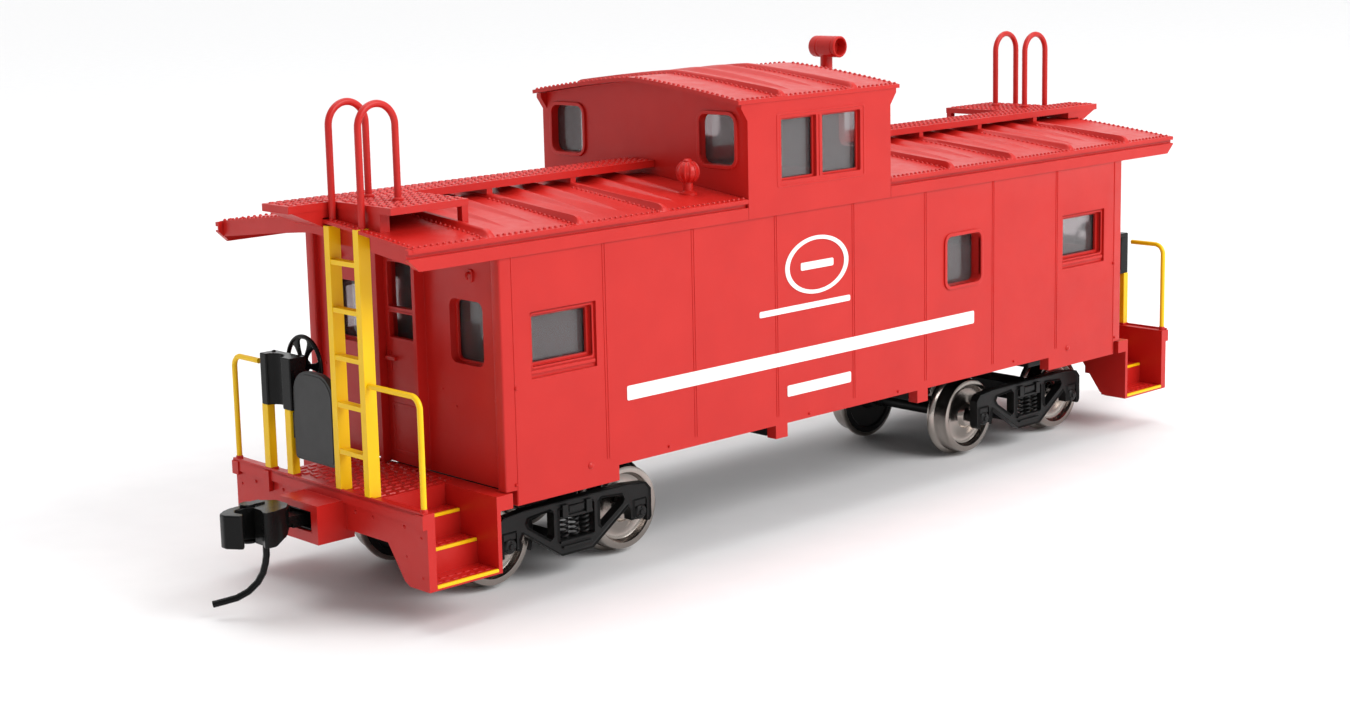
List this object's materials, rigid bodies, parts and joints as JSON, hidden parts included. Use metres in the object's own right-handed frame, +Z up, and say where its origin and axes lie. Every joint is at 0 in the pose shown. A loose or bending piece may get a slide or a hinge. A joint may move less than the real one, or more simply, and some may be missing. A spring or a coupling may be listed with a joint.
{
  "type": "model caboose",
  "caption": "HO scale railway caboose with a wide roof cupola, end platforms, ladders and hand brakes, swivelling trucks with turning wheelsets, and sprung knuckle couplers.",
  "frame": {"origin": "middle of the car at the level its wheel flanges stand on", "axes": "+X along the car towards its B end, +Y across it to the left when facing +X, +Z up; the top of the rail is 0.65 mm above the origin"},
  "size_m": [0.1554, 0.0352, 0.0556],
  "materials": {
    "red_plastic": "satin moulded and painted red",
    "yellow_plastic": "satin safety yellow",
    "black_plastic": "matte black",
    "grey_plastic": "matte dark grey",
    "nickel_steel": "nickel plated, turned",
    "clear_glazing": "clear smoked plastic glazing"
  },
  "bodies": {
    "car": {"body_shell": "red_plastic", "main_roof_a": "red_plastic", "main_roof_b": "red_plastic", "cupola_shell": "red_plastic", "cupola_roof": "red_plastic", "smoke_jack": "red_plastic", "roof_vent": "red_plastic", "end_door_a": "red_plastic", "running_board_a": "red_plastic", "grab_loop_inner_a": "red_plastic", "grab_loop_outer_a": "red_plastic", "end_platform_a": "red_plastic", "ladder_a": "yellow_plastic", "rail_ladder_side_a": "yellow_plastic", "rail_brake_side_a": "yellow_plastic", "brake_stand_a": "yellow_plastic", "brake_housing_a": "black_plastic", "brake_wheel_a": "black_plastic", "coupler_box_a": "black_plastic", "brake_guard_a": "grey_plastic", "truck_screw_a": "nickel_steel", "coupler_box_screw_a": "nickel_steel", "glazing_end_a": "clear_glazing", "end_door_b": "red_plastic", "running_board_b": "red_plastic", "grab_loop_inner_b": "red_plastic", "grab_loop_outer_b": "red_plastic", "end_platform_b": "red_plastic", "ladder_b": "yellow_plastic", "rail_ladder_side_b": "yellow_plastic", "rail_brake_side_b": "yellow_plastic", "brake_stand_b": "yellow_plastic", "brake_housing_b": "black_plastic", "brake_wheel_b": "black_plastic", "coupler_box_b": "black_plastic", "brake_guard_b": "grey_plastic", "truck_screw_b": "nickel_steel", "coupler_box_screw_b": "nickel_steel", "glazing_end_b": "clear_glazing", "glazing_near_side": "clear_glazing", "glazing_far_side": "clear_glazing", "glazing_cupola": "clear_glazing", "underframe": "black_plastic", "floor_pan": "black_plastic", "air_reservoir": "black_plastic", "brake_cylinder": "black_plastic", "steel_weight": "nickel_steel"},
    "truck_a": {"truck_a": "black_plastic"},
    "coupler_a": {"coupler_a": "black_plastic"},
    "knuckle_a": {"knuckle_a": "black_plastic"},
    "wheelset_a1": {"wheelset_a1": "nickel_steel"},
    "wheelset_a2": {"wheelset_a2": "nickel_steel"},
    "truck_b": {"truck_b": "black_plastic"},
    "coupler_b": {"coupler_b": "black_plastic"},
    "knuckle_b": {"knuckle_b": "black_plastic"},
    "wheelset_b1": {"wheelset_b1": "nickel_steel"},
    "wheelset_b2": {"wheelset_b2": "nickel_steel"}
  },
  "joints": [
    {"name": "truck_a_swivel", "type": "hinge", "parent": "car", "child": "truck_a", "pos_m": [-0.0406, 0, 0.00885], "axis": [0, 0, 1], "range_deg": [-8, 8]},
    {"name": "wheelset_a1_spin", "type": "hinge", "parent": "truck_a", "child": "wheelset_a1", "pos_m": [-0.0502, 0, 0.00546], "axis": [0, 1, 0], "continuous": true},
    {"name": "wheelset_a2_spin", "type": "hinge", "parent": "truck_a", "child": "wheelset_a2", "pos_m": [-0.031, 0, 0.00546], "axis": [0, 1, 0], "continuous": true},
    {"name": "coupler_a_swing", "type": "hinge", "parent": "car", "child": "coupler_a", "pos_m": [-0.0616, 0, 0.01035], "axis": [0, 0, 1], "range_deg": [-9, 9], "stiffness_Nm_per_rad": 0.0002},
    {"name": "knuckle_a_hinge", "type": "hinge", "parent": "coupler_a", "child": "knuckle_a", "pos_m": [-0.0739, 0.0016, 0.01035], "axis": [0, 0, 1], "range_deg": [-30, 0], "stiffness_Nm_per_rad": 0.0001},
    {"name": "truck_b_swivel", "type": "hinge", "parent": "car", "child": "truck_b", "pos_m": [0.0406, 0, 0.00885], "axis": [0, 0, 1], "range_deg": [-8, 8]},
    {"name": "wheelset_b1_spin", "type": "hinge", "parent": "truck_b", "child": "wheelset_b1", "pos_m": [0.031, 0, 0.00546], "axis": [0, 1, 0], "continuous": true},
    {"name": "wheelset_b2_spin", "type": "hinge", "parent": "truck_b", "child": "wheelset_b2", "pos_m": [0.0502, 0, 0.00546], "axis": [0, 1, 0], "continuous": true},
    {"name": "coupler_b_swing", "type": "hinge", "parent": "car", "child": "coupler_b", "pos_m": [0.0616, 0, 0.01035], "axis": [0, 0, 1], "range_deg": [-9, 9], "stiffness_Nm_per_rad": 0.0002},
    {"name": "knuckle_b_hinge", "type": "hinge", "parent": "coupler_b", "child": "knuckle_b", "pos_m": [0.0739, -0.0016, 0.01035], "axis": [0, 0, 1], "range_deg": [-30, 0], "stiffness_Nm_per_rad": 0.0001}
  ]
}
